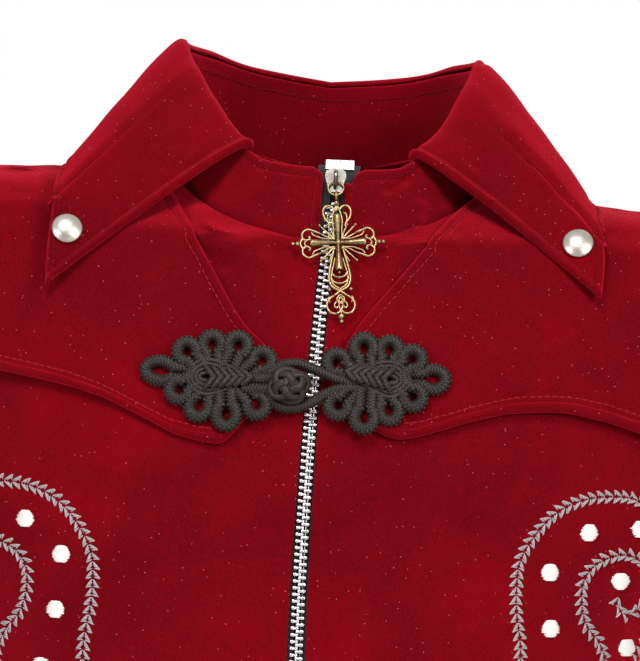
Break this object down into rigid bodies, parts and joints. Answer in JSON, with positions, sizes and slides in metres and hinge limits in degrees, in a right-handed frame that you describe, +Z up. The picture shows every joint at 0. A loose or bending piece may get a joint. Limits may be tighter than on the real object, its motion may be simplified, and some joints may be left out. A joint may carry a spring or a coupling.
{
  "type": "tailcoat",
  "caption": "Velvet tailcoat with a wide pointed collar, shoulder flaps, braided frog closure, metal zip with a cross pull, long sleeves and two tails.",
  "frame": {"origin": "middle of the neck, level with the points where the shoulder seams meet the collar, where the wearer's neck and shoulders carry the coat", "axes": "+Z up, the front faces -Y, +X towards the wearer's left"},
  "size_m": [0.6136, 0.2979, 1.0234],
  "materials": {
    "velvet": "deep crimson cotton velvet with a short pile",
    "braid": "black braided rayon cord",
    "zip_tape": "black woven tape",
    "zip_metal": "bright nickel plate",
    "snap_metal": "bright nickel plate",
    "old_brass": "antiqued brass"
  },
  "bodies": {
    "coat": {"front_left": "velvet", "front_right": "velvet", "back_left": "velvet", "back_right": "velvet", "tail_left": "velvet", "tail_right": "velvet", "sleeve_upper_left": "velvet", "sleeve_under_left": "velvet", "sleeve_upper_right": "velvet", "sleeve_under_right": "velvet", "flap_left": "velvet", "flap_right": "velvet", "collar_stand": "velvet", "collar_leaf": "velvet", "zip_tape_left": "zip_tape", "zip_tape_right": "zip_tape", "zip_chain": "zip_metal", "zip_stop_left": "zip_metal", "zip_stop_right": "zip_metal", "zip_box": "zip_metal", "zip_slider": "zip_metal", "frog_left": "braid", "frog_right": "braid", "snap_left": "snap_metal", "snap_right": "snap_metal"},
    "zip_pull": {"pull_ring": "old_brass", "cross_pull": "old_brass"}
  },
  "joints": [
    {"name": "pull_swing", "type": "hinge", "parent": "coat", "child": "zip_pull", "pos_m": [0.00626, -0.07085, -0.02065], "axis": [-1, 0, 0], "range_deg": [0, 150]}
  ]
}
